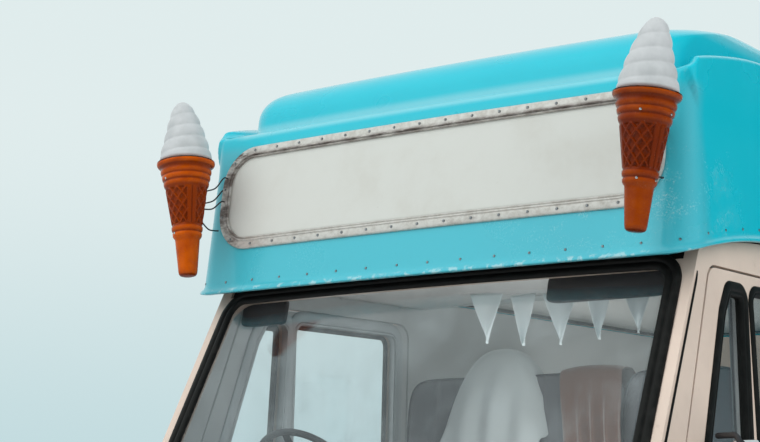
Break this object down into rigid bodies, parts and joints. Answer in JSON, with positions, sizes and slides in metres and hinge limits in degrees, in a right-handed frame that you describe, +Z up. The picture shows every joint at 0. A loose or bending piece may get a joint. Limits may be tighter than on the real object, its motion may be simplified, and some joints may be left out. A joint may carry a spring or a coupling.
{
  "type": "ice cream truck",
  "caption": "Ice cream truck with a moulded roof canopy, blank front sign, display cones, serving hatch, opening doors and bonnet, steering and rolling wheels.",
  "frame": {"origin": "on the ground under the middle of the whole truck", "axes": "+Z up, -Y towards the front, +X towards the truck's left side with the serving hatch"},
  "size_m": [2.29, 4.7596, 2.8],
  "materials": {
    "canopy_paint": "gloss turquoise gel coat",
    "body_paint": "cream enamel, a little aged",
    "sign_board": "off-white, weathered",
    "sign_rim": "weathered pressed strip",
    "cone_shell": "gloss orange-brown",
    "cone_swirl": "satin off-white",
    "seal_rubber": "matt black",
    "tyre": "matt black",
    "wheel_paint": "cream enamel",
    "glass": "clear",
    "chrome": "polished",
    "grille_metal": "polished bars",
    "lamp_glass": "fluted lens",
    "tail_glass": "red and amber lens",
    "black_metal": "black chassis paint",
    "exhaust_metal": "dull steel",
    "engine_metal": "painted iron",
    "steel": "machined steel",
    "floor_vinyl": "dark vinyl",
    "dark_trim": "moulded black trim",
    "seat_cloth": "cloth cover",
    "cabinet": "white laminate",
    "stainless": "brushed stainless steel"
  },
  "bodies": {
    "body": {"cab_frame": "body_paint", "chassis_frame": "black_metal", "cone_brackets": "black_metal", "cone_swirls": "cone_swirl", "dashboard": "dark_trim", "engine_block": "engine_metal", "exhaust": "exhaust_metal", "floor_pan": "floor_vinyl", "front_axle_beam": "black_metal", "front_bumper": "chrome", "fuel_tank": "black_metal", "grille": "grille_metal", "hatch_frame": "grille_metal", "hatch_glass": "glass", "headlamps": "lamp_glass", "leaf_springs": "black_metal", "left_side_wall": "body_paint", "nose_panel": "body_paint", "propshaft": "black_metal", "radiator": "black_metal", "rear_axle": "black_metal", "rear_bumper": "chrome", "rear_wall": "body_paint", "right_side_wall": "body_paint", "roof_shell": "canopy_paint", "seats": "seat_cloth", "serving_cabinets": "cabinet", "serving_counter": "stainless", "side_glass": "glass", "sign_frame": "sign_rim", "sign_panel": "sign_board", "soft_serve_machine": "stainless", "steering_column": "dark_trim", "tail_lamps": "tail_glass", "waffle_cones": "cone_shell", "windscreen_glass": "glass", "windscreen_seal": "seal_rubber"},
    "left_door": {"left_door": "body_paint", "left_door_glass": "glass", "left_mirror": "dark_trim"},
    "right_door": {"right_door": "body_paint", "right_door_glass": "glass", "right_mirror": "dark_trim"},
    "rear_door": {"rear_door": "body_paint", "rear_door_glass": "glass"},
    "bonnet": {"bonnet": "body_paint"},
    "left_knuckle": {"left_knuckle": "steel"},
    "right_knuckle": {"right_knuckle": "steel"},
    "steering_wheel": {"steering_wheel": "dark_trim"},
    "front_left_wheel": {"front_left_tyre": "tyre", "front_left_rim": "wheel_paint"},
    "front_right_wheel": {"front_right_tyre": "tyre", "front_right_rim": "wheel_paint"},
    "rear_left_wheel": {"rear_left_tyre": "tyre", "rear_left_rim": "wheel_paint"},
    "rear_right_wheel": {"rear_right_tyre": "tyre", "rear_right_rim": "wheel_paint"}
  },
  "joints": [
    {"name": "left_steer", "type": "hinge", "parent": "body", "child": "left_knuckle", "pos_m": [0.7, -1.78, 0.33], "axis": [0, 0, 1], "range_deg": [-28, 28]},
    {"name": "right_steer", "type": "hinge", "parent": "body", "child": "right_knuckle", "pos_m": [-0.7, -1.78, 0.33], "axis": [0, 0, 1], "range_deg": [-28, 28]},
    {"name": "steering_wheel_turn", "type": "hinge", "parent": "body", "child": "steering_wheel", "pos_m": [-0.59, -1.18, 1.3], "axis": [0, 0.788, 0.6157], "range_deg": [-450, 450]},
    {"name": "left_door_swing", "type": "hinge", "parent": "body", "child": "left_door", "pos_m": [1.012, -1.459, 0.9], "axis": [0, 0, -1], "range_deg": [0, 70]},
    {"name": "right_door_swing", "type": "hinge", "parent": "body", "child": "right_door", "pos_m": [-1.012, -1.459, 0.9], "axis": [0, 0, 1], "range_deg": [0, 70]},
    {"name": "rear_door_swing", "type": "hinge", "parent": "body", "child": "rear_door", "pos_m": [-0.356, 2.288, 1.1], "axis": [0, 0, 1], "range_deg": [0, 100]},
    {"name": "bonnet_lift", "type": "hinge", "parent": "body", "child": "bonnet", "pos_m": [0, -1.767, 1.12], "axis": [-1, 0, 0], "range_deg": [0, 60]},
    {"name": "front_left_roll", "type": "hinge", "parent": "left_knuckle", "child": "front_left_wheel", "pos_m": [0.82, -1.78, 0.33], "axis": [1, 0, 0], "continuous": true},
    {"name": "front_right_roll", "type": "hinge", "parent": "right_knuckle", "child": "front_right_wheel", "pos_m": [-0.82, -1.78, 0.33], "axis": [1, 0, 0], "continuous": true},
    {"name": "rear_left_roll", "type": "hinge", "parent": "body", "child": "rear_left_wheel", "pos_m": [0.82, 0.92, 0.33], "axis": [1, 0, 0], "continuous": true},
    {"name": "rear_right_roll", "type": "hinge", "parent": "body", "child": "rear_right_wheel", "pos_m": [-0.82, 0.92, 0.33], "axis": [1, 0, 0], "continuous": true}
  ],
  "couplings": [
    {"joint": "right_steer", "follows": "left_steer", "ratio": 1},
    {"joint": "steering_wheel_turn", "follows": "left_steer", "ratio": -16}
  ]
}
